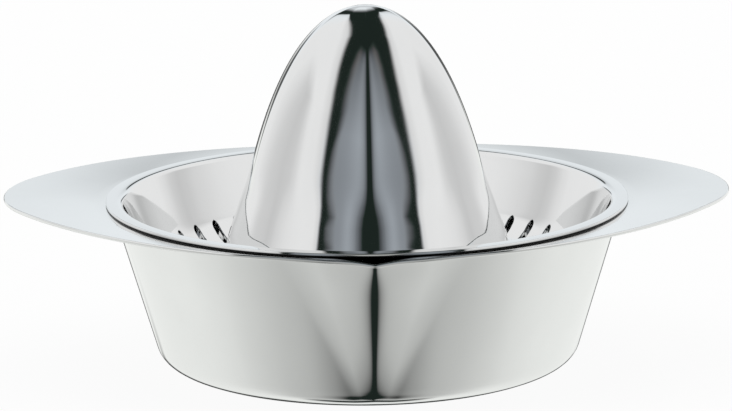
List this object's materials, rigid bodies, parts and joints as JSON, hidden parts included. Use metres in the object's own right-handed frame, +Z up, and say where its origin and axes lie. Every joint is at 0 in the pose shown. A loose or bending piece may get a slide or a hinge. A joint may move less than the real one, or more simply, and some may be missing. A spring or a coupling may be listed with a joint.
{
  "type": "citrus juicer",
  "caption": "Hand citrus press: a ridged dome reamer in a slotted strainer dish that lifts out of a spouted, winged catching bowl of polished steel.",
  "frame": {"origin": "middle of the flat underside of the bowl, on the axis of the reamer", "axes": "+Z up along the reamer, wings along +X and -X, pouring lip towards -Y"},
  "size_m": [0.21, 0.1596, 0.1028],
  "materials": {
    "bowl_steel": "mirror polished stainless steel",
    "strainer_steel": "mirror polished stainless steel"
  },
  "bodies": {
    "bowl": {"juice_bowl": "bowl_steel"},
    "strainer": {"reamer_strainer": "strainer_steel"}
  },
  "joints": [
    {"name": "strainer_lift", "type": "slide", "parent": "bowl", "child": "strainer", "axis": [0, 0, 1], "range_m": [0, 0.08]}
  ]
}
